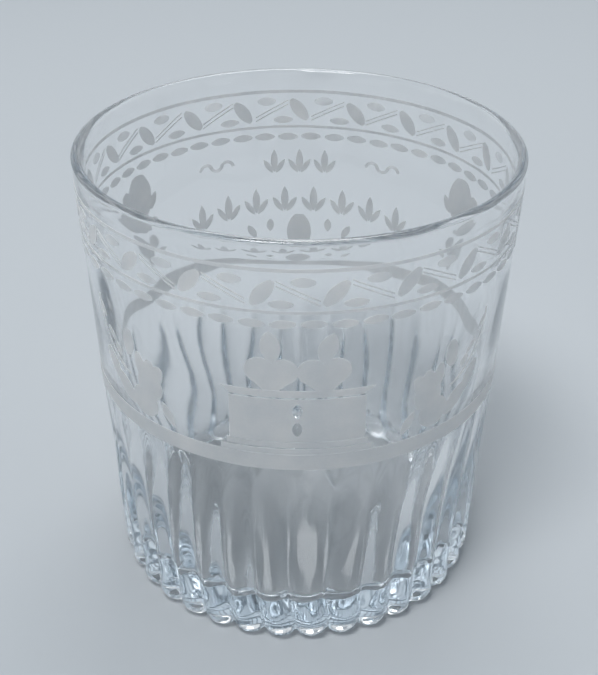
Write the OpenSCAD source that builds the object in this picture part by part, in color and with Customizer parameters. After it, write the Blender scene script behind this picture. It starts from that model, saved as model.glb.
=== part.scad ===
// Engraved glass tumbler with a ribbed foot: a clear glass body and the ground,
// frosted zones that a wheel engraver cut on its outside.
// Sizes are in millimetres. The origin is the centre of the resting face, +Z is
// up, and the front of the decoration (the altar) faces -Y.
// Angles round the glass run from the front, positive towards +X.

/* [Tumbler] */
// Height from the table to the top of the lip
height = 86; // [76:1:104]
// Diameter over the lip
rim_d = 80; // [72:1:96]
// Diameter over the ribs at the table
foot_d = 72; // [64:1:76]
// Wall thickness just below the lip
rim_wall = 1.7; // [1.4:0.1:2.4]
// Wall thickness at the waist, above the ribs
waist_wall = 2.3; // [1.9:0.1:3]
// Wall thickness behind a rib crest at the cavity floor
floor_wall = 5; // [4.6:0.1:7]
// Thickness of the solid bottom
floor_t = 6.5; // [5:0.5:10]
// Radius of the corner between the cavity floor and its wall
floor_fillet = 4.5; // [3:0.5:7]
// How much the fire-polished lip swells past the wall on each side
lip_swell = 0.06; // [0.02:0.01:0.15]
// Diameter of the hollow under the bottom
underside_d = 44; // [30:1:52]
// Depth of the hollow under the bottom
underside_depth = 1.2; // [0.6:0.1:2]

/* [Ribs] */
// Number of ribs round the foot
rib_count = 36; // [32:1:38]
// Height of the waist, where the ribs end
waist_z = 42.3; // [36:0.1:46]
// Radius of a rib at its ball-shaped foot
rib_foot_r = 3.5; // [3.4:0.1:4.4]
// Radius of a rib at the waist
rib_waist_r = 6.2; // [5:0.1:8]
// How far the table cuts into the ball-shaped feet
foot_flat = 0.35; // [0.2:0.05:0.6]
// Height over which the grooves run out under the waist
groove_runout = 12; // [2:0.5:16]
// Depth of glass that fills the sharp bottom of each groove
groove_fill = 0.12; // [0.08:0.01:0.3]

/* [Ground decoration] */
// Thickness of a ground, frosted zone
ground_t = 0.12; // [0.08:0.01:0.2]
// Width of the frosted ring at the waist
waist_band_w = 3.2; // [2:0.1:5]
// How far the hand-set cuts wander, in degrees
wander = 0.7; // [0:0.1:1.2]

/* [Frieze] */
// Distance from the top of the lip down to the upper line
frieze_drop = 4.6; // [3.5:0.1:8]
// Height of the frieze between its two lines
frieze_h = 8.1; // [7:0.1:9.8]
// Width of the upper line
upper_line_w = 0.65; // [0.4:0.05:1]
// Width of the lower line
lower_line_w = 0.55; // [0.4:0.05:1]
// Number of slanted leaves
leaf_count = 21; // [18:1:22]
// Length of a slanted leaf
leaf_l = 5.6; // [4.8:0.1:6.2]
// Width of a slanted leaf
leaf_w = 2.6; // [1.8:0.1:2.8]
// Slant of a leaf from the horizontal
leaf_slant = 50; // [45:1:58]
// Width of each thread of the double lines
thread_w = 0.26; // [0.2:0.02:0.36]
// Distance between the two threads
thread_gap = 0.8; // [0.7:0.05:1]
// Number of beads under the frieze
bead_count = 50; // [44:1:52]
// Length of a bead
bead_l = 4.2; // [3.4:0.1:4.4]
// Width of a bead
bead_w = 1.6; // [1.2:0.1:1.9]
// Gap between the lower line and the beads
bead_gap = 1.05; // [0.3:0.05:1.5]

/* [Front] */
// Width of the altar block
block_w = 22.6; // [18:0.2:25]
// Width of the altar's cornice
cornice_w = 25.6; // [20:0.2:28]
// Width of one heart
heart_w = 8.8; // [7:0.1:9.4]
// How deep the hearts' points sink behind the cornice
heart_sink = 1.3; // [0.4:0.1:2]

/* [Hidden] */
$fn = 96;

clear_glass = [0.78, 0.85, 0.89];
ground_glass = [0.69, 0.72, 0.75];

rim_r = rim_d / 2;
foot_r = foot_d / 2;
lip_r = rim_wall / 2 + lip_swell;
lip_z = height - lip_r;
rib_pitch = 360 / rib_count;
rib_foot_z = rib_foot_r - foot_flat;
rib_top_z = waist_z + 0.5;
crest_inset = 0.05;
wedge_gap = 0.1;
top_line_z = height - frieze_drop;
bottom_line_z = top_line_z - frieze_h;
frieze_mid_z = (top_line_z - upper_line_w + bottom_line_z) / 2;
leaf_pitch = 360 / leaf_count;
band_z = waist_z + waist_band_w;
bead_z = bottom_line_z - bead_gap - bead_w / 2;
plain_h = bottom_line_z - band_z;

// Outside radius of the glass at height z, on the straight cone that the rib
// crests and the upper wall share.
function outer_r(z) = foot_r + (rim_r - lip_swell - foot_r) * z / height;

// Inside radius at height z: steep below the waist, slimmer above it.
function inner_r(z) = z < waist_z
    ? outer_r(z) - floor_wall + (floor_wall - waist_wall) * (z - floor_t) / (waist_z - floor_t)
    : outer_r(z) - waist_wall + (waist_wall - rim_wall) * (z - waist_z) / (lip_z - waist_z);

// Radius of a rib, and the distance of its middle from the glass's axis, at height z.
function rib_r(z) = rib_foot_r
    + (rib_waist_r - rib_foot_r) * (z - rib_foot_z) / (rib_top_z - rib_foot_z);
function rib_axis_r(z) = outer_r(z) - crest_inset - rib_r(z);

// Distance from a groove's bottom to the middle of the ribs beside it, seen along the groove.
function groove_reach(z) = sqrt(pow(rib_r(z), 2) - pow(rib_axis_r(z) * sin(rib_pitch / 2), 2));

// Radius of the groove floor at height z.
function groove_floor_r(z) = rib_axis_r(z) * cos(rib_pitch / 2) + groove_reach(z) + groove_fill;

// Height of a point that lies the share t up the plain field over the waist.
function field_z(t) = band_z + t * plain_h;

// A small, repeatable sway for cut number i, between -1 and 1.
function sway(i) = sin(i * 137.5) * cos(i * 61);

// ---------- clear glass ----------

// One rib: a rod with a ball end that thickens upwards, leaning inwards so that
// its crest stays on the outer cone.
module rib() {
    foot = [rib_axis_r(rib_foot_z), rib_foot_z];
    top = [rib_axis_r(rib_top_z), rib_top_z];
    run = norm(top - foot);
    translate([foot.x, 0, foot.y])
        rotate([0, atan2(top.x - foot.x, top.y - foot.y), 0])
            rotate_extrude() {
                polygon([[0, 0], [rib_foot_r, 0], [rib_waist_r, run], [0, run]]);
                intersection() {
                    circle(r = rib_foot_r);
                    translate([0, -rib_foot_r]) square(rib_foot_r);
                }
            }
}

// The ribs, each kept inside its own wedge so that it only meets the core.
module ribs() {
    half = rib_pitch / 2 - wedge_gap;
    far = rim_r + 5;
    for (i = [0 : rib_count - 1])
        rotate([0, 0, (i + 0.5) * rib_pitch - 90])
            intersection() {
                rib();
                linear_extrude(rib_top_z - 0.1)
                    polygon([[0, 0], far * [cos(half), -sin(half)], far * [1.02, 0],
                             far * [cos(half), sin(half)]]);
            }
}

// The body that shows in the grooves, and the straight wall above them. Near the
// table its edge is cut in three slopes round the ball feet.
module core() {
    middle = [rib_axis_r(rib_foot_z) * cos(rib_pitch / 2), rib_foot_z];
    reach = (groove_reach(rib_foot_z) + groove_fill) / cos(17.5);
    low = middle + reach * [cos(-52.5), sin(-52.5)];
    high = middle + reach * [cos(-17.5), sin(-17.5)];
    mid_z = (rib_foot_z + waist_z) / 2;
    runout_z = waist_z - groove_runout;
    rotate_extrude()
        polygon([
            [0, 0], [low.x - low.y * tan(70), 0], low, high,
            [groove_floor_r(mid_z), mid_z], [groove_floor_r(runout_z), runout_z],
            [outer_r(waist_z), waist_z], [outer_r(lip_z), lip_z], [0, lip_z]
        ]);
}

// The space inside, with a rounded corner at the floor.
module cavity() {
    corner_r = inner_r(floor_t + floor_fillet) - floor_fillet;
    rotate_extrude()
        polygon(concat(
            [[0, height + 1], [0, floor_t]],
            [for (a = [-90 : 10 : 0]) [corner_r + floor_fillet * cos(a),
                                      floor_t + floor_fillet * (1 + sin(a))]],
            [[inner_r(waist_z), waist_z], [inner_r(lip_z), lip_z],
             [inner_r(lip_z), height + 1]]
        ));
}

// The hollow in the underside, a shallow cone that leaves a flat ring to rest on.
module underside() {
    translate([0, 0, -1])
        cylinder(r = underside_d / 2, h = 1);
    cylinder(r1 = underside_d / 2, r2 = underside_d / 4, h = underside_depth);
}

module lip() {
    rotate_extrude()
        translate([rim_r - lip_r, lip_z]) circle(r = lip_r);
}

module glass_body() {
    color(clear_glass, 0.4) {
        difference() {
            union() { core(); ribs(); }
            cavity();
            underside();
        }
        lip();
    }
}

// ---------- ground zones ----------

// A skin on the outer cone between two heights.
module skin(z0, z1) {
    rotate_extrude()
        polygon([
            [outer_r(z0), z0], [outer_r(z0) + ground_t, z0],
            [outer_r(z1) + ground_t, z1], [outer_r(z1), z1]
        ]);
}

// Cuts the 2D children out of the skin, face on at angle a. x runs round the
// glass and y is the height.
module cut_at(a, half_w = 3) {
    start = sqrt(pow(outer_r(waist_z), 2) - pow(half_w, 2)) - 1.5;
    rotate([0, 0, a])
        translate([0, -start, 0])
            rotate([90, 0, 0])
                linear_extrude(rim_r + 1 - start) children();
}

// A wheel cut: a boat shape, l long along x and w wide.
module olive(l, w) {
    r = (l * l + w * w) / (4 * w);
    intersection() {
        translate([0, r - w / 2]) circle(r = r);
        translate([0, w / 2 - r]) circle(r = r);
    }
}

// An olive with its middle at p, turned by the angle t.
module leaf(p, t, l, w) {
    translate(p) rotate(t) olive(l, w);
}

// The same with blunt ends.
module oval(p, t, l, w) {
    translate(p) rotate(t)
        intersection() {
            olive(1.16 * l, w);
            circle(r = l / 2);
        }
}

// A thin straight cut from p to q.
module thread(p, q, w = thread_w) {
    translate(p)
        rotate(atan2(q.y - p.y, q.x - p.x))
            translate([0, -w / 2]) square([norm(q - p), w]);
}

// A thin curved cut of radius r round p, from angle a to angle b (under 180).
module arc(p, r, a, b, w) {
    far = 3 * r;
    translate(p)
        intersection() {
            difference() {
                circle(r = r + w / 2);
                circle(r = r - w / 2);
            }
            polygon([[0, 0], far * [cos(a), sin(a)],
                     far * [cos((a + b) / 2), sin((a + b) / 2)], far * [cos(b), sin(b)]]);
        }
}

module frieze_upper_line() {
    color(ground_glass) skin(top_line_z - upper_line_w, top_line_z);
}

module frieze_lower_line() {
    color(ground_glass) skin(bottom_line_z, bottom_line_z + lower_line_w);
}

module frieze_leaves() {
    color(ground_glass) intersection() {
        skin(bottom_line_z + lower_line_w + 0.1, top_line_z - upper_line_w - 0.1);
        for (i = [0 : leaf_count - 1])
            cut_at((i + 0.5) * leaf_pitch + wander * sway(i))
                oval([0, frieze_mid_z + 0.2 * sway(i + 5)], leaf_slant + 4 * sway(i + 9),
                     leaf_l, leaf_w);
    }
}

// Two threads run from the top of each leaf down to the foot of the next one.
module frieze_threads() {
    span = outer_r(frieze_mid_z) * sin(leaf_pitch / 2);
    dx = leaf_l / 2 * cos(leaf_slant);
    dz = leaf_l / 2 * sin(leaf_slant);
    color(ground_glass) intersection() {
        skin(bottom_line_z + lower_line_w + 0.1, top_line_z - upper_line_w - 0.1);
        for (i = [0 : leaf_count - 1], side = [-1, 1])
            cut_at((i + 1) * leaf_pitch, span)
                translate([0, frieze_mid_z + side * thread_gap / 2])
                    thread([dx - span + 0.6, dz - 0.4], [span - dx - 0.6, 0.4 - dz]);
    }
}

module frieze_ovals(z, shift, l, w) {
    color(ground_glass) intersection() {
        skin(z - w, z + w);
        for (i = [0 : leaf_count - 1])
            cut_at((i + 1) * leaf_pitch + shift + wander * sway(i + 3))
                oval([0, z], 2 * sway(i + 7), l, w);
    }
}

module frieze_upper_ovals() {
    frieze_ovals(frieze_mid_z + 0.25 * frieze_h, 1.6, 3.9, 1.8);
}

module frieze_lower_ovals() {
    frieze_ovals(frieze_mid_z - 0.24 * frieze_h, -3.4, 4, 1.6);
}

module frieze_beads() {
    color(ground_glass) intersection() {
        skin(bead_z - bead_w, bottom_line_z - 0.1);
        for (i = [0 : bead_count - 1])
            cut_at((i + 0.5) * 360 / bead_count, bead_l / 2)
                oval([0.1 * sway(i), bead_z + 0.1 * sway(i + 2)], 3 * sway(i + 4), bead_l, bead_w);
    }
}

module waist_band() {
    color(ground_glass) skin(waist_z, band_z);
}

// ---------- front: two flaming hearts on an altar ----------

module front(z0, z1, half_w = block_w / 2) {
    color(ground_glass) intersection() {
        skin(z0, z1);
        cut_at(0, half_w + 2) children();
    }
}

// The block, with two drops left polished in its middle.
module altar_block() {
    z0 = field_z(0.1);
    z1 = field_z(0.415);
    front(z0, z1) difference() {
        translate([-block_w / 2, z0 - 1]) square([block_w, z1 - z0 + 2]);
        for (t = [0.3, 0.72])
            leaf([0, z0 + t * (z1 - z0)], 90, 3, 1.7);
    }
}

module altar_cornice() {
    z0 = field_z(0.425);
    z1 = field_z(0.475);
    front(z0, z1, cornice_w / 2) polygon([
        [-block_w / 2, z0 - 1], [block_w / 2, z0 - 1],
        [block_w / 2, z0 + 0.4], [cornice_w / 2, z1], [cornice_w / 2, z1 + 1],
        [-cornice_w / 2, z1 + 1], [-cornice_w / 2, z1], [-block_w / 2, z0 + 0.4]
    ]);
}

// Two low steps under the block, over the frosted ring.
module altar_steps() {
    step = (field_z(0.1) - band_z) / 2;
    front(band_z, field_z(0.1), cornice_w / 2)
        for (k = [0 : 1]) {
            half = cornice_w / 2 - k;
            translate([-half, band_z + k * step + 0.12]) square([2 * half, step - 0.26]);
        }
}

// A heart with its point at the origin, w wide.
module heart(w) {
    lobe = 0.28 * w;
    for (side = [-1, 1])
        translate([side * (w / 2 - lobe), 0.57 * w]) circle(r = lobe);
    polygon([[0, 0], [0.45 * w, 0.43 * w], [0.2 * w, 0.64 * w], [0, 0.7 * w],
             [-0.2 * w, 0.64 * w], [-0.45 * w, 0.43 * w]]);
}

module altar_hearts() {
    z0 = field_z(0.475) + 0.06;
    front(z0, z0 + heart_w, heart_w)
        for (side = [-1, 1])
            translate([side * (heart_w / 2 + 0.05), z0 - heart_sink])
                rotate(side * 2) heart(heart_w);
}

module altar_flames() {
    z0 = field_z(0.475) - heart_sink + 0.85 * heart_w;
    front(z0 - 2, z0 + 8, heart_w) {
        leaf([-heart_w / 2, z0 + 2.2], 96, 6, 3.3);
        leaf([heart_w / 2 + 0.4, z0 + 2], 72, 6, 3.2);
    }
}

// ---------- flower sprays and bouquets ----------

module spray_cut(a, z0, z1) {
    color(ground_glass) intersection() {
        skin(z0, z1);
        cut_at(a, 9) children();
    }
}

// A spray, h tall: a curved stem with olive leaves on the outer side, and a
// heavy blossom low on the inner side.
module spray(h) {
    arc([3.4, 0.71 * h], 12.6, 178, 250, 0.35);
    leaf([-8.4, 0.64 * h], -52, 3.6, 1.1);
    leaf([-5.6, 0.5 * h], -44, 3.2, 1.2);
    leaf([-4, 0.42 * h], -56, 3, 1.4);
    oval([-0.4, 0.53 * h], 84, 5.4, 3);
    oval([2.2, 0.4 * h], 98, 5.2, 2.3);
    oval([-6, 0.27 * h], -58, 6.6, 2.8);
    oval([-2.6, 0.16 * h], -42, 7, 3.4);
    blossom([4.2, 0.31 * h], 8.6);
    circle_at([2.6, 0.14 * h], 3.1);
    leaf([8, 0.12 * h], -62, 5, 1.8);
}

module circle_at(p, r) {
    translate(p) circle(r = r);
}

// Three overlapping petals on a round base.
module blossom(p, size) {
    circle_at([p.x, p.y - 0.1 * size], 0.34 * size);
    for (t = [-26, 4, 34])
        oval([p.x + 0.24 * size * sin(t), p.y + 0.16 * size * cos(t)], 90 - t,
             0.72 * size, 0.38 * size);
}

module left_spray() {
    spray_cut(-47, band_z, field_z(0.9)) translate([0, band_z]) spray(plain_h);
}

module right_spray() {
    spray_cut(41, band_z, field_z(0.9)) mirror([1, 0]) translate([0, band_z]) spray(plain_h);
}

// A bouquet, h tall: one heavy bloom over two spreading leaves and a stem.
module bouquet(h) {
    oval([-0.4, 0.7 * h], 92, 9.8, 7.4);
    oval([2.8, 0.66 * h], 66, 8, 4.6);
    leaf([-4.4, 0.64 * h], 118, 4, 1.6);
    oval([-2.7, 0.38 * h], 118, 8, 3.8);
    oval([2.5, 0.36 * h], 66, 8, 3.8);
    leaf([-4.6, 0.24 * h], 150, 3.6, 1.6);
    leaf([0, 0.24 * h], 88, 6.4, 2.6);
}

module bouquet_cut(a) {
    spray_cut(a, field_z(0.1), bead_z - bead_w / 2 - 0.25)
        translate([0, band_z]) children();
}

module left_bouquet() {
    bouquet_cut(-122) bouquet(plain_h);
}

module right_bouquet() {
    bouquet_cut(121) mirror([1, 0]) bouquet(plain_h);
}

// ---------- back: garland, scrolls and a medallion ----------

// Two rows of small sprigs where the old glass carries a motto.
module back_garland() {
    color(ground_glass) intersection() {
        skin(field_z(0.26), field_z(0.85));
        union() {
            for (i = [-3.5 : 3.5])
                cut_at(180 + i * 9.4, 3) translate([0, field_z(0.41) - 0.16 * i * i]) sprig(5.8);
            for (i = [-1 : 1])
                cut_at(180 + i * 8, 3) translate([0, field_z(0.72)]) sprig(5.2);
        }
    }
}

// A sprig: a middle leaf between two that spread.
module sprig(size) {
    leaf([0, 0.1 * size], 90, size, 0.3 * size);
    for (side = [-1, 1])
        leaf([side * 0.26 * size, -0.12 * size], 90 - side * 34, 0.72 * size, 0.22 * size);
}

module back_scrolls() {
    z = field_z(0.74);
    color(ground_glass) intersection() {
        skin(z - 2.5, z + 2.5);
        for (side = [-1, 1])
            cut_at(180 + side * 27, 6)
                for (k = [-1 : 1])
                    arc([k * 2.4, z + (k == 0 ? 0.6 : -0.6)], 1.4, k == 0 ? 190 : 10,
                        k == 0 ? 350 : 170, 0.7);
    }
}

// A tall oval with small cuts round it.
module back_medallion() {
    z = field_z(0.15);
    color(ground_glass) intersection() {
        skin(band_z, field_z(0.3));
        cut_at(180, 12) {
            oval([0, z], 90, 8.4, 5.4);
            for (side = [-1, 1]) {
                leaf([side * 6.4, z + 1.8], 90, 3, 1.6);
                leaf([side * 6.2, z - 2.2], 0, 3, 1.2);
                leaf([side * 10.4, z + 0.6], 90 - side * 30, 3.6, 1.5);
            }
        }
    }
}

glass_body();
frieze_upper_line();
frieze_lower_line();
frieze_leaves();
frieze_threads();
frieze_upper_ovals();
frieze_lower_ovals();
frieze_beads();
waist_band();
altar_block();
altar_cornice();
altar_steps();
altar_hearts();
altar_flames();
left_spray();
right_spray();
left_bouquet();
right_bouquet();
back_garland();
back_scrolls();
back_medallion();
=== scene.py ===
"""Engraved glass tumbler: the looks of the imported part, built around its frame.

The clear body is lathed and its ribs are drawn in by the same rule as the part's.
The ground, frosted zones are the part's own pieces with a matt glass finish.
"""

import math

import bmesh
import bpy
from bpy.props import FloatProperty, FloatVectorProperty, IntProperty, PointerProperty
from mathutils import Matrix, Vector, noise


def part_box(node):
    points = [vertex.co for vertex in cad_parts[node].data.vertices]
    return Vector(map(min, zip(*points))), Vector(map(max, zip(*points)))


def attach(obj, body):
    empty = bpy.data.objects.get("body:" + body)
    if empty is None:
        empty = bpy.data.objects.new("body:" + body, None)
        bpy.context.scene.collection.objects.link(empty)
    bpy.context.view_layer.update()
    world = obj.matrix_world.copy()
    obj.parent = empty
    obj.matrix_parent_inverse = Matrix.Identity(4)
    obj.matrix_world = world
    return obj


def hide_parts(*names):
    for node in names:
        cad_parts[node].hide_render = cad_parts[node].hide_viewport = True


bl_info = {
    "name": "Engraved Tumbler",
    "version": (1, 0, 0),
    "blender": (4, 5, 0),
    "location": "3D View > Sidebar > Tumbler",
    "description": "Builds a ribbed, wheel-engraved glass tumbler around its packed frame",
    "category": "Add Mesh",
}

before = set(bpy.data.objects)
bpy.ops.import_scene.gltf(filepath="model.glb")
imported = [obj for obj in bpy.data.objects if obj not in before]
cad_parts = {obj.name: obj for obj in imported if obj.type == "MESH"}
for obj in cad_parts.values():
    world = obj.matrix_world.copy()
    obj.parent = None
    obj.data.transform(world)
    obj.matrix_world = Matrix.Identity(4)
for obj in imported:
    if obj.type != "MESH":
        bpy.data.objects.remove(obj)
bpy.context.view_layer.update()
BODY = "root"
MM = 0.001

# The frame gives the height, the rim and the waist, so the looks follow the part.
GLASS_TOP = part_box("glass_body")[1]
HEIGHT = GLASS_TOP.z
RIM_R = GLASS_TOP.x
WAIST_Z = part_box("waist_band")[0].z

CREST_INSET = 0.05 * MM  # how far the rib crests stay inside the cone
RIB_OVERRUN = 0.5 * MM  # how far the ribs' rods run on above the waist
BALL_SWEEP = 130  # degrees of a ball foot that its outline follows, down from its side
STEPS_PER_RIB = 18

# Unevenness of the hand-made glass: waves per turn, waves per height, and a seed.
LEAN_WAVES = (9.0, 3.0, 1.0)
WALL_WAVES = (22.0, 7.0, 2.0)
GROOVE_WAVES = (30.0, 9.0, 3.0)
FLOOR_WAVES = 110  # per metre

LEAN = 0.45  # sideways sway of a groove, as a share of the pitch
LEAN_REACH = 8 * MM  # height over the ball feet in which the sway sets in
FADE_MEAN, FADE_SPREAD = 1.15, 0.6  # where a groove starts to fade, in run-outs

# The camera's distance from the middle of the foot is in rim radii, its angles are in
# radians, and its lens and sensor are in millimetres.
CAMERA_REACH = 6.4315
CAMERA_RISE = 0.6971
CAMERA_TILT = 0.5461
CAMERA_PAN = 0.0008
CAMERA_ROLL = 0.0084
CAMERA_LENS, CAMERA_SENSOR = 63.36, 36

# Soft boxes: name, place in metres, side in metres and power in watts.
LAMPS = (
    ("key", (-0.14, -0.3, 0.75), 0.25, 2.8),
    ("fill", (0.05, 0.3, 0.7), 0.3, 1.6),
)
FLOOR_SIZE = 3  # half a side, in metres
FLOOR_Z = -0.2 * MM  # just under the feet
CEILING = (0, -0.45, 0.9)  # direction in which the studio is darkest
DARK_COLOUR = (0.10, 0.135, 0.17, 1)
BRIGHT_COLOUR = (0.96, 1.0, 1.03, 1)


# ---------- what a user would change ----------

class TumblerSizes(bpy.types.PropertyGroup):
    """Sizes of the clear body that the frame's boxes don't give"""

    foot_r: FloatProperty(
        name="Foot radius", description="Radius over the rib crests at the table",
        default=36 * MM, unit="LENGTH")
    rim_wall: FloatProperty(
        name="Wall at the lip", description="Wall thickness just below the lip",
        default=1.7 * MM, unit="LENGTH")
    waist_wall: FloatProperty(
        name="Wall at the waist", description="Wall thickness just above the ribs",
        default=2.3 * MM, unit="LENGTH")
    floor_wall: FloatProperty(
        name="Wall at the floor", description="Wall thickness behind a rib crest at the floor",
        default=5 * MM, unit="LENGTH")
    floor_t: FloatProperty(
        name="Bottom thickness", description="Thickness of the solid bottom",
        default=6.5 * MM, unit="LENGTH")
    floor_fillet: FloatProperty(
        name="Floor corner", description="Radius between the floor and the wall inside",
        default=4.5 * MM, unit="LENGTH")
    lip_swell: FloatProperty(
        name="Lip swell", description="How far the fire-polished lip swells past the wall",
        default=0.06 * MM, unit="LENGTH")
    rib_count: IntProperty(
        name="Ribs", description="Number of ribs round the foot", default=36, min=12)
    rib_foot_r: FloatProperty(
        name="Rib radius at the foot", description="Radius of the ball that ends a rib",
        default=3.5 * MM, unit="LENGTH")
    rib_waist_r: FloatProperty(
        name="Rib radius at the waist", description="Radius of a rib where it fades out",
        default=6.2 * MM, unit="LENGTH")
    foot_flat: FloatProperty(
        name="Foot flat", description="How far the table cuts into the ball feet",
        default=0.35 * MM, unit="LENGTH")
    runout: FloatProperty(
        name="Groove run-out", description="Height over which the grooves fade under the waist",
        default=12 * MM, unit="LENGTH")
    groove_fill: FloatProperty(
        name="Groove fill", description="Glass that fills the bottom of each groove",
        default=0.12 * MM, unit="LENGTH")
    groove_round: FloatProperty(
        name="Groove rounding", description="Width over which a groove's bottom is rounded",
        default=0.45 * MM, unit="LENGTH")
    groove_bite: FloatProperty(
        name="Groove bite", description="How much deeper the hand-cut grooves are drawn",
        default=0.35, min=0, max=0.6)
    hollow_r: FloatProperty(
        name="Hollow radius", description="Radius of the hollow under the bottom",
        default=22 * MM, unit="LENGTH")
    hollow_depth: FloatProperty(
        name="Hollow depth", description="Depth of the hollow under the bottom",
        default=1.2 * MM, unit="LENGTH")
    hand_wave: FloatProperty(
        name="Hand-made wave", description="Depth of the ripples left by hand blowing",
        default=0.22 * MM, unit="LENGTH")


class TumblerFinish(bpy.types.PropertyGroup):
    """Colours of the two glass finishes and of the studio"""

    tint: FloatVectorProperty(
        name="Glass tint", description="Colour that thick clear glass takes on",
        default=(0.40, 0.52, 0.61), subtype="COLOR", size=3)
    tint_density: FloatProperty(
        name="Tint density", description="Strength of the tint, per metre of glass",
        default=16.0, min=0)
    ground: FloatVectorProperty(
        name="Ground glass", description="Colour of the matt, engraved zones",
        default=(0.95, 0.972, 0.99), subtype="COLOR", size=3)
    backdrop: FloatVectorProperty(
        name="Backdrop", description="Colour of the floor and the backdrop",
        default=(0.62, 0.65, 0.675), subtype="COLOR", size=3)


# ---------- shape rules shared with the part ----------

class Shape:
    """The tumbler's outline, worked out from the sizes and the frame."""

    def __init__(self, s):
        self.s = s
        self.lip_r = s.rim_wall / 2 + s.lip_swell
        self.lip_z = HEIGHT - self.lip_r
        self.foot_z = s.rib_foot_r - s.foot_flat
        self.top_z = WAIST_Z + RIB_OVERRUN
        self.half_pitch = math.pi / s.rib_count

    def outer(self, z):
        """Radius of the straight cone that the crests and the upper wall share."""
        s = self.s
        return s.foot_r + (RIM_R - s.lip_swell - s.foot_r) * z / HEIGHT

    def inner(self, z):
        """Radius of the cavity."""
        s = self.s
        if z < WAIST_Z:
            t = (z - s.floor_t) / (WAIST_Z - s.floor_t)
            return self.outer(z) - s.floor_wall + (s.floor_wall - s.waist_wall) * t
        t = (z - WAIST_Z) / (self.lip_z - WAIST_Z)
        return self.outer(z) - s.waist_wall + (s.waist_wall - s.rim_wall) * t

    def rib(self, z):
        """Radius of a rib's rod at height z, and how far its middle is from the axis."""
        s = self.s
        t = (z - self.foot_z) / (self.top_z - self.foot_z)
        r = s.rib_foot_r + (s.rib_waist_r - s.rib_foot_r) * max(t, 0.0)
        return r, self.outer(max(z, self.foot_z)) - CREST_INSET - r

    def ribbed(self, z, a, fade=1.0):
        """Radius of the ribbed wall at height z, a radians from the nearest crest.

        fade is the groove's own share of the usual run-out.
        """
        r, axis = self.rib(z)
        crest = axis * math.cos(a) + math.sqrt(r * r - (axis * math.sin(a)) ** 2)
        half = self.half_pitch
        floor = axis * math.cos(half) + math.sqrt(r * r - (axis * math.sin(half)) ** 2)
        floor += self.s.groove_fill
        start = WAIST_Z - self.s.runout * fade
        rise = min(max((z - start) / (WAIST_Z - start), 0.0), 1.0)
        floor += (self.outer(z) - floor) * rise
        skin = soft_max(crest, floor, self.s.groove_round)
        above_balls = min((z - self.foot_z) / self.foot_z, 1.0)
        deepen = 1.0 + self.s.groove_bite * (1.0 - rise) * above_balls
        return self.outer(z) - (self.outer(z) - skin) * deepen


def soft_max(a, b, width):
    """The larger of two lengths, rounded over where they are nearly equal."""
    near = max(width - abs(a - b), 0.0) / width
    return max(a, b) + near * near * width / 4


# ---------- mesh helpers ----------

def finish_piece(name, bm, material):
    """Turns a bmesh into a piece that rides on the body and takes its slot's finish."""
    bmesh.ops.recalc_face_normals(bm, faces=bm.faces)
    mesh = bpy.data.meshes.new(name)
    bm.to_mesh(mesh)
    bm.free()
    mesh.polygons.foreach_set("use_smooth", [True] * len(mesh.polygons))
    mesh.materials.append(material)
    piece = bpy.data.objects.new(name, mesh)
    bpy.context.scene.collection.objects.link(piece)
    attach(piece, BODY)
    return piece


def lathe(profile, steps):
    """A closed body of revolution from (radius, height) points, from axis to axis.

    Each vertex keeps the number of its point in the layer that is returned with it.
    """
    bm = bmesh.new()
    row = bm.verts.layers.int.new("row")
    chain = []
    for i, (r, z) in enumerate(profile):
        v = bm.verts.new((0.0, -r, z))
        v[row] = i
        chain.append(v)
    edges = [bm.edges.new(pair) for pair in zip(chain, chain[1:])]
    bmesh.ops.spin(
        bm, geom=chain + edges, cent=(0, 0, 0), axis=(0, 0, 1), dvec=(0, 0, 0),
        angle=2 * math.pi, steps=steps, use_merge=True, use_duplicate=False)
    bmesh.ops.remove_doubles(bm, verts=bm.verts, dist=1e-7)
    return bm, row


# ---------- materials ----------

def new_material(name):
    """An empty node material and its output."""
    material = bpy.data.materials.new(name)
    material.use_nodes = True
    material.node_tree.nodes.clear()
    out = material.node_tree.nodes.new("ShaderNodeOutputMaterial")
    return material, material.node_tree, out


def add(tree, kind, **inputs):
    """Adds a node and sets its inputs by socket name, or links them to other sockets."""
    node = tree.nodes.new(kind)
    for key, value in inputs.items():
        socket = node.inputs[key.replace("_", " ")]
        if isinstance(value, bpy.types.NodeSocket):
            tree.links.new(value, socket)
        else:
            socket.default_value = value
    return node


def object_point(tree):
    """The point on the piece, in metres."""
    return tree.nodes.new("ShaderNodeTexCoord").outputs["Object"]


def clear_glass_material(finish):
    """Polished glass with faint draw lines and a blue-grey tint where it is thick."""
    material, tree, out = new_material("clear_glass")
    point = object_point(tree)
    wave = add(tree, "ShaderNodeTexNoise", Vector=point, Scale=90.0, Detail=2.0, Roughness=0.4)
    bump = add(tree, "ShaderNodeBump", Strength=0.06, Distance=0.0004,
               Height=wave.outputs["Fac"])
    glass = add(tree, "ShaderNodeBsdfPrincipled", Roughness=0.045, IOR=1.5,
                Transmission_Weight=1.0, Base_Color=(1, 1, 1, 1),
                Normal=bump.outputs["Normal"])
    tint = add(tree, "ShaderNodeVolumeAbsorption", Color=(*finish.tint, 1),
               Density=finish.tint_density)
    tree.links.new(glass.outputs["BSDF"], out.inputs["Surface"])
    tree.links.new(tint.outputs["Volume"], out.inputs["Volume"])
    return material


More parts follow.
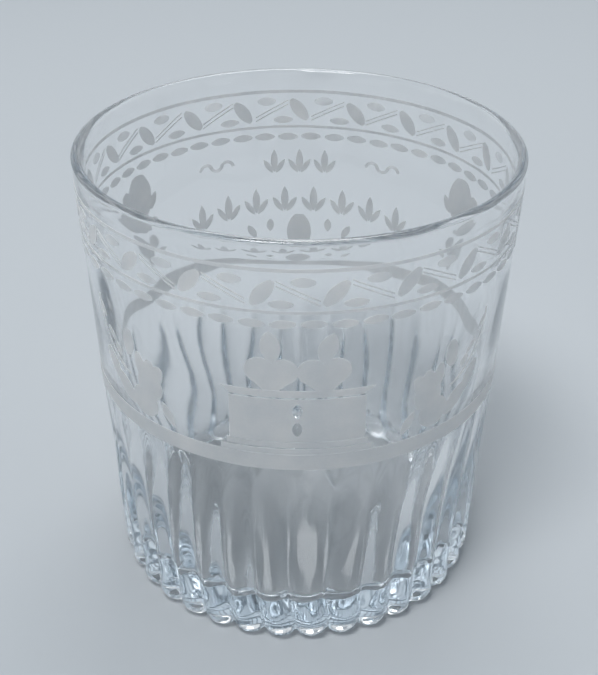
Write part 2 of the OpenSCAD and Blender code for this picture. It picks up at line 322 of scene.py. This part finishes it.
def ground_glass_material(finish):
    """Matt ground glass: lets light through, hides what is behind, with a fine grain."""
    material, tree, out = new_material("ground_glass")
    point = object_point(tree)
    grain = add(tree, "ShaderNodeTexNoise", Vector=point, Scale=3500.0, Detail=3.0,
                Roughness=0.6)
    cloud = add(tree, "ShaderNodeTexNoise", Vector=point, Scale=160.0, Detail=3.0,
                Roughness=0.55)
    blend = tree.nodes.new("ShaderNodeMath")
    blend.operation = "MULTIPLY_ADD"
    tree.links.new(grain.outputs["Fac"], blend.inputs[0])
    blend.inputs[1].default_value = 0.35
    tree.links.new(cloud.outputs["Fac"], blend.inputs[2])
    ramp = tree.nodes.new("ShaderNodeValToRGB")
    ramp.color_ramp.elements[0].position = 0.45
    ramp.color_ramp.elements[1].position = 0.9
    low = [c * 0.93 for c in finish.ground]
    high = [min(c * 1.06, 1.0) for c in finish.ground]
    ramp.color_ramp.elements[0].color = (*low, 1)
    ramp.color_ramp.elements[1].color = (*high, 1)
    tree.links.new(blend.outputs[0], ramp.inputs["Fac"])
    bump = add(tree, "ShaderNodeBump", Strength=0.35, Distance=0.00003,
               Height=grain.outputs["Fac"])
    front = add(tree, "ShaderNodeBsdfDiffuse", Color=ramp.outputs["Color"],
                Roughness=0.6, Normal=bump.outputs["Normal"])
    through = add(tree, "ShaderNodeBsdfTranslucent", Color=ramp.outputs["Color"],
                  Normal=bump.outputs["Normal"])
    # 0.6 of the light that meets the grain goes on through it, and 0.26 of all light
    # passes between the grains.
    matt = add(tree, "ShaderNodeMixShader", Fac=0.6)
    tree.links.new(front.outputs[0], matt.inputs[1])
    tree.links.new(through.outputs[0], matt.inputs[2])
    clear = add(tree, "ShaderNodeBsdfTransparent", Color=(1, 1, 1, 1))
    both = add(tree, "ShaderNodeMixShader", Fac=0.26)
    tree.links.new(matt.outputs[0], both.inputs[1])
    tree.links.new(clear.outputs[0], both.inputs[2])
    tree.links.new(both.outputs[0], out.inputs["Surface"])
    return material


# ---------- pieces ----------

def body_profile(shape):
    """Outline of the body, from the middle of the cavity's floor to the middle underneath.

    A row holds the name of its stretch and two numbers: a radius and a height, or on the
    ribbed stretch a height, and on the ball feet an angle, which place() turns into both.
    """
    s = shape.s
    rows = []
    corner_z = s.floor_t + s.floor_fillet
    corner_r = shape.inner(corner_z) - s.floor_fillet
    for k in range(7):
        rows.append(("floor", k / 7 * corner_r, s.floor_t))
    for k in range(9):
        a = math.radians(-90 + 90 * k / 8)
        rows.append(("wall_in", corner_r + s.floor_fillet * math.cos(a),
                     s.floor_t + s.floor_fillet * (1 + math.sin(a))))
    for k in range(1, 26):
        z = corner_z + (shape.lip_z - corner_z) * k / 25
        rows.append(("wall_in", shape.inner(z), z))
    # The lip is a half circle, from the inner wall over the top to the outer one.
    for k in range(1, 12):
        a = math.radians(180 - 15 * k)
        rows.append(("lip", RIM_R - shape.lip_r + shape.lip_r * math.cos(a),
                     shape.lip_z + shape.lip_r * math.sin(a)))
    for k in range(13):
        z = shape.lip_z + (WAIST_Z - shape.lip_z) * k / 12
        rows.append(("wall", shape.outer(z), z))
    # The rows stand closer where the grooves fade than further down.
    fade_z = WAIST_Z - s.runout * 1.1
    for k in range(1, 11):
        z = WAIST_Z + (fade_z - WAIST_Z) * k / 10
        rows.append(("ribbed", z, z))
    for k in range(1, 17):
        z = fade_z + (shape.foot_z - fade_z) * k / 16
        rows.append(("ribbed", z, z))
    for k in range(1, 13):
        rows.append(("ball", math.radians(-BALL_SWEEP * k / 12), 0.0))
    # The flat resting ring, then the shallow hollow.
    rows.append(("ring", s.hollow_r + 7.6 * MM, 0.0))
    rows.append(("ring", s.hollow_r + 3 * MM, 0.0))
    rows.append(("ring", s.hollow_r, 0.0))
    for k in range(1, 5):
        r = s.hollow_r * (1 - k / 8)
        rows.append(("ring", r, s.hollow_depth * k / 4))
    rows.append(("ring", 0.0, s.hollow_depth))
    return rows


def place(shape, row, angle):
    """Radius and height of a profile row's point at an angle round the glass."""
    kind, u, v = row
    if kind not in ("ribbed", "ball"):
        return u, v
    z = u if kind == "ribbed" else shape.foot_z
    pitch = 2 * shape.half_pitch
    lean = ripple(angle, z, *LEAN_WAVES) * min((z - shape.foot_z) / LEAN_REACH, 1.0)
    turn = angle / pitch + LEAN * lean
    a = (turn % 1.0 - 0.5) * pitch
    if kind == "ribbed":
        # Each groove reads the noise at a place of its own.
        groove = round(turn) % shape.s.rib_count
        fade = FADE_MEAN + FADE_SPREAD * noise.noise(Vector((groove * 7.3, 0.4, 2.1)))
        return shape.ribbed(u, abs(a), fade), u
    r, axis = shape.rib(shape.foot_z)
    side = axis * math.cos(a)
    reach = math.sqrt(r * r - (axis * math.sin(a)) ** 2)
    floor = math.sqrt(r * r - (axis * math.sin(shape.half_pitch)) ** 2) + shape.s.groove_fill
    reach = soft_max(reach, floor, shape.s.groove_round)
    return side + reach * math.cos(u), max(shape.foot_z + reach * math.sin(u), 0.0)


def ripple(angle, z, across, along, seed):
    """A soft, seamless unevenness round the glass: waves per turn and waves per its height."""
    k = across / (2 * math.pi)
    return noise.noise(Vector((k * math.cos(angle), k * math.sin(angle) + 5 * seed,
                               along * z / HEIGHT + 11 * seed)))


class TUMBLER_OT_clear_body(bpy.types.Operator):
    """Lathe the clear glass body and draw in its ribs, ball feet and hand-made waves"""

    bl_idname = "tumbler.clear_body"
    bl_label = "Clear Glass Body"

    def execute(self, context):
        scene = context.scene
        shape = Shape(scene.tumbler_sizes)
        rows = body_profile(shape)
        line = [place(shape, row, shape.half_pitch) for row in rows]
        bm, row_layer = lathe(line, shape.s.rib_count * STEPS_PER_RIB)
        wave = shape.s.hand_wave
        for v in bm.verts:
            x, y, z = v.co
            if math.hypot(x, y) < 1e-6:
                continue
            angle = math.atan2(x, -y) % (2 * math.pi)
            row = rows[v[row_layer]]
            r, z = place(shape, row, angle)
            if row[0] == "wall_in":
                r += ripple(angle, z, *WALL_WAVES) * wave
            elif row[0] == "ribbed":
                # Mostly inwards, and nothing at the waist.
                depth = wave * 0.7 * min((WAIST_Z - z) / shape.s.runout, 1.0)
                r += (ripple(angle, z, *GROOVE_WAVES) - 0.6) * depth
            elif row[0] == "floor" or (row[0] == "ring" and z > 0):
                # Nothing on the axis, where all the vertices of a row meet.
                depth = wave * 1.5 * min(r / (5 * MM), 1.0)
                z += noise.noise(Vector((x, y, z)) * FLOOR_WAVES) * depth
            v.co = (r * math.sin(angle), -r * math.cos(angle), z)
        body = finish_piece("tumbler_body", bm, clear_glass_material(scene.tumbler_finish))
        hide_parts("glass_body")
        return {"FINISHED"}


class TUMBLER_OT_ground_zones(bpy.types.Operator):
    """Give every engraved zone its matt ground-glass finish"""

    bl_idname = "tumbler.ground_zones"
    bl_label = "Ground Zones"

    def execute(self, context):
        material = ground_glass_material(context.scene.tumbler_finish)
        for name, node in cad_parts.items():
            if name == "glass_body":
                continue
            node.data.materials.clear()
            node.data.materials.append(material)
        return {"FINISHED"}


class TUMBLER_OT_stage(bpy.types.Operator):
    """Lay the floor and set the studio light and the camera"""

    bl_idname = "tumbler.stage"
    bl_label = "Stage, Light and Camera"

    def execute(self, context):
        scene = context.scene
        finish = scene.tumbler_finish
        material, tree, out = new_material("backdrop")
        paper = add(tree, "ShaderNodeBsdfDiffuse", Color=(*finish.backdrop, 1), Roughness=1.0)
        tree.links.new(paper.outputs[0], out.inputs["Surface"])
        bm = bmesh.new()
        bmesh.ops.create_grid(bm, x_segments=1, y_segments=1, size=FLOOR_SIZE,
                              matrix=Matrix.Translation((0, 0, FLOOR_Z)))
        mesh = bpy.data.meshes.new("floor")
        bm.to_mesh(mesh)
        bm.free()
        mesh.materials.append(material)
        floor = bpy.data.objects.new("floor", mesh)
        scene.collection.objects.link(floor)
        # Light crosses many walls on its way through the ribs and the foot.
        scene.cycles.max_bounces = 32
        scene.cycles.transmission_bounces = 32
        scene.cycles.glossy_bounces = 32
        scene.cycles.diffuse_bounces = 12
        scene.cycles.transparent_max_bounces = 32

        world = bpy.data.worlds.new("studio")
        scene.world = world
        world.use_nodes = True
        nt = world.node_tree
        nt.nodes.clear()
        wout = nt.nodes.new("ShaderNodeOutputWorld")
        direction = nt.nodes.new("ShaderNodeTexCoord").outputs["Generated"]
        toward = add(nt, "ShaderNodeVectorMath")
        toward.operation = "DOT_PRODUCT"
        nt.links.new(direction, toward.inputs[0])
        toward.inputs[1].default_value = Vector(CEILING).normalized()
        ramp = nt.nodes.new("ShaderNodeValToRGB")
        ramp.color_ramp.interpolation = "EASE"
        ramp.color_ramp.elements[0].position = 0.2
        ramp.color_ramp.elements[0].color = BRIGHT_COLOUR
        ramp.color_ramp.elements[1].position = 0.85
        ramp.color_ramp.elements[1].color = DARK_COLOUR
        nt.links.new(toward.outputs["Value"], ramp.inputs["Fac"])
        back = add(nt, "ShaderNodeBackground", Color=ramp.outputs["Color"], Strength=1.0)
        nt.links.new(back.outputs[0], wout.inputs["Surface"])

        for lamp in LAMPS:
            self.lamp(scene, *lamp)
        self.camera(scene)
        scene.view_settings.view_transform = "Standard"
        return {"FINISHED"}

    def lamp(self, scene, name, at, size, power):
        """A square soft box that looks at the middle of the glass."""
        data = bpy.data.lights.new(name, "AREA")
        data.size = size
        data.energy = power
        lamp = bpy.data.objects.new(name, data)
        aim = Vector((0, 0, HEIGHT / 2)) - Vector(at)
        turn = aim.to_track_quat("-Z", "Y").to_matrix().to_4x4()
        lamp.matrix_world = Matrix.Translation(at) @ turn
        scene.collection.objects.link(lamp)

    def camera(self, scene):
        """A long lens close to the glass, looking down over its rim."""
        distance = CAMERA_REACH * RIM_R
        ahead = Vector((CAMERA_PAN, math.cos(CAMERA_TILT), -math.sin(CAMERA_TILT)))
        ahead.normalize()
        level = Vector((ahead.y, -ahead.x, 0)).normalized()
        over = level.cross(ahead)
        right = level * math.cos(CAMERA_ROLL) + over * math.sin(CAMERA_ROLL)
        up = over * math.cos(CAMERA_ROLL) - level * math.sin(CAMERA_ROLL)
        data = bpy.data.cameras.new("camera")
        data.sensor_width = CAMERA_SENSOR
        data.lens = CAMERA_LENS
        data.clip_start = 0.01
        camera = bpy.data.objects.new("camera", data)
        turn = Matrix((right, up, -ahead)).transposed().to_4x4()
        spot = Vector((0, -math.cos(CAMERA_RISE), math.sin(CAMERA_RISE))) * distance
        camera.matrix_world = Matrix.Translation(spot) @ turn
        scene.collection.objects.link(camera)
        scene.camera = camera


class TUMBLER_PT_panel(bpy.types.Panel):
    """Lists the tumbler's sizes, finishes and pieces"""

    bl_label = "Engraved Tumbler"
    bl_idname = "TUMBLER_PT_panel"
    bl_space_type = "VIEW_3D"
    bl_region_type = "UI"
    bl_category = "Tumbler"

    def draw(self, context):
        layout = self.layout
        for group in (context.scene.tumbler_sizes, context.scene.tumbler_finish):
            box = layout.box()
            for name in group.__annotations__:
                box.prop(group, name)
        for operator in OPERATORS:
            layout.operator(operator.bl_idname)


OPERATORS = (TUMBLER_OT_clear_body, TUMBLER_OT_ground_zones, TUMBLER_OT_stage)
CLASSES = (TumblerSizes, TumblerFinish, *OPERATORS, TUMBLER_PT_panel)


def register():
    """Adds the classes and hangs the two groups of settings on the scene."""
    for cls in CLASSES:
        bpy.utils.register_class(cls)
    bpy.types.Scene.tumbler_sizes = PointerProperty(type=TumblerSizes)
    bpy.types.Scene.tumbler_finish = PointerProperty(type=TumblerFinish)


def unregister():
    """Takes them away again."""
    del bpy.types.Scene.tumbler_finish
    del bpy.types.Scene.tumbler_sizes
    for cls in reversed(CLASSES):
        bpy.utils.unregister_class(cls)


def main():
    """Registers the add-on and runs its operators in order."""
    register()
    for operator in OPERATORS:
        group, name = operator.bl_idname.split(".")
        getattr(getattr(bpy.ops, group), name)()


if __name__ == "__main__":
    main()
